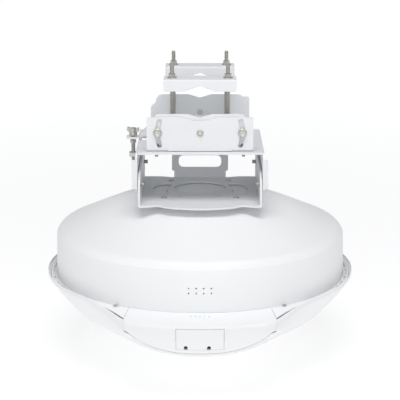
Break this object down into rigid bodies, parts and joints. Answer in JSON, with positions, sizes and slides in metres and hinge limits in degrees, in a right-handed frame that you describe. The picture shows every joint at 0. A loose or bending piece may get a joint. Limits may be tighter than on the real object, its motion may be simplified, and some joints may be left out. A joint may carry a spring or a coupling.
{
  "type": "outdoor wireless bridge",
  "caption": "Round dish radio unit lying on its domed front cover, with a port bay in its chin, status lights and an adjustable painted steel pole bracket on its back.",
  "frame": {"origin": "centre of the flat foot of the front cover, on the dish axis", "axes": "+Z along the dish axis from the front cover to the pole bracket; Y along the pole, with -Y towards the chin and its ports, the underside of the mounted unit; +X to the right when looking along +Y"},
  "size_m": [0.46, 0.492, 0.447],
  "materials": {
    "moulding": "fine satin white moulding",
    "painted": "satin powder coat, off-white",
    "steel": "plain stainless fasteners",
    "rubber": "matt black seal",
    "aluminium": "spun, plain",
    "board": "green circuit board",
    "tin": "bright sheet metal",
    "black": "black plastic",
    "light": "clear light window, bluish"
  },
  "bodies": {
    "dish_unit": {"front_radome": "moulding", "bezel_ring": "moulding", "chin_housing": "moulding", "rear_housing": "moulding", "rim_gasket": "rubber", "status_led_1": "light", "status_led_2": "light", "status_led_3": "light", "status_led_4": "light", "status_led_5": "light", "bezel_screw_left": "steel", "bezel_screw_right": "steel", "reflector": "aluminium", "feed_tube": "aluminium", "sub_reflector": "black", "main_board": "board", "rf_shield": "tin", "port_board": "board", "ethernet_jack": "tin", "fibre_cage": "tin", "reset_switch": "black", "board_cable": "black", "base_bracket": "painted", "base_screw_1": "steel", "base_screw_2": "steel", "base_screw_3": "steel", "base_screw_4": "steel", "elevation_pivot_left": "steel", "elevation_pivot_right": "steel"},
    "cover": {"port_cover": "moulding"},
    "button": {"reset_button": "black"},
    "yoke": {"elevation_yoke": "painted", "elevation_lock_left": "steel", "elevation_lock_right": "steel", "azimuth_carrier": "painted", "carrier_screw_left": "steel", "carrier_screw_right": "steel", "azimuth_rivet_near": "steel", "azimuth_rivet_far": "steel", "adjuster_swivel": "tin"},
    "pole_head": {"pole_channel": "painted", "azimuth_lock_left": "steel", "azimuth_lock_right": "steel", "clamp_bolt_near_left": "steel", "clamp_bolt_near_right": "steel", "clamp_bolt_far_left": "steel", "clamp_bolt_far_right": "steel", "adjuster_lever": "painted"},
    "clamp_near": {"pole_clamp_near": "painted", "clamp_nut_near_left": "steel", "clamp_nut_near_right": "steel", "clamp_stop_nut": "steel"},
    "clamp_far": {"pole_clamp_far": "painted", "clamp_nut_far_left": "steel", "clamp_nut_far_right": "steel"},
    "fine_screw": {"adjuster_screw": "steel"},
    "fine_knob": {"adjuster_knob": "steel"}
  },
  "joints": [
    {"name": "elevation_tilt", "type": "hinge", "parent": "dish_unit", "child": "yoke", "pos_m": [0, -0.09, 0.276], "axis": [1, 0, 0], "range_deg": [-5, 5]},
    {"name": "azimuth_swing", "type": "hinge", "parent": "yoke", "child": "pole_head", "pos_m": [0, 0, 0.35], "axis": [0, 1, 0], "range_deg": [-8, 3.5]},
    {"name": "fine_screw_slide", "type": "slide", "parent": "yoke", "child": "fine_screw", "axis": [0, 0, 1], "range_m": [-0.0141, 0.0062]},
    {"name": "fine_knob_turn", "type": "hinge", "parent": "fine_screw", "child": "fine_knob", "pos_m": [-0.1, 0.01, 0.33], "axis": [0, 0, 1], "continuous": true},
    {"name": "clamp_near_slide", "type": "slide", "parent": "pole_head", "child": "clamp_near", "axis": [0, 0, 1], "range_m": [-0.03, 0.014]},
    {"name": "clamp_far_slide", "type": "slide", "parent": "pole_head", "child": "clamp_far", "axis": [0, 0, 1], "range_m": [-0.03, 0.014]},
    {"name": "port_cover_slide", "type": "slide", "parent": "dish_unit", "child": "cover", "axis": [0, -1, 0], "range_m": [0, 0.022]},
    {"name": "reset_press", "type": "slide", "parent": "dish_unit", "child": "button", "axis": [0, 1, 0], "range_m": [0, 0.001], "stiffness_N_per_m": 1200, "springref_m": -0.0004}
  ],
  "couplings": [
    {"joint": "fine_screw_slide", "follows": "azimuth_swing", "m_per_rad": 0.1}
  ]
}
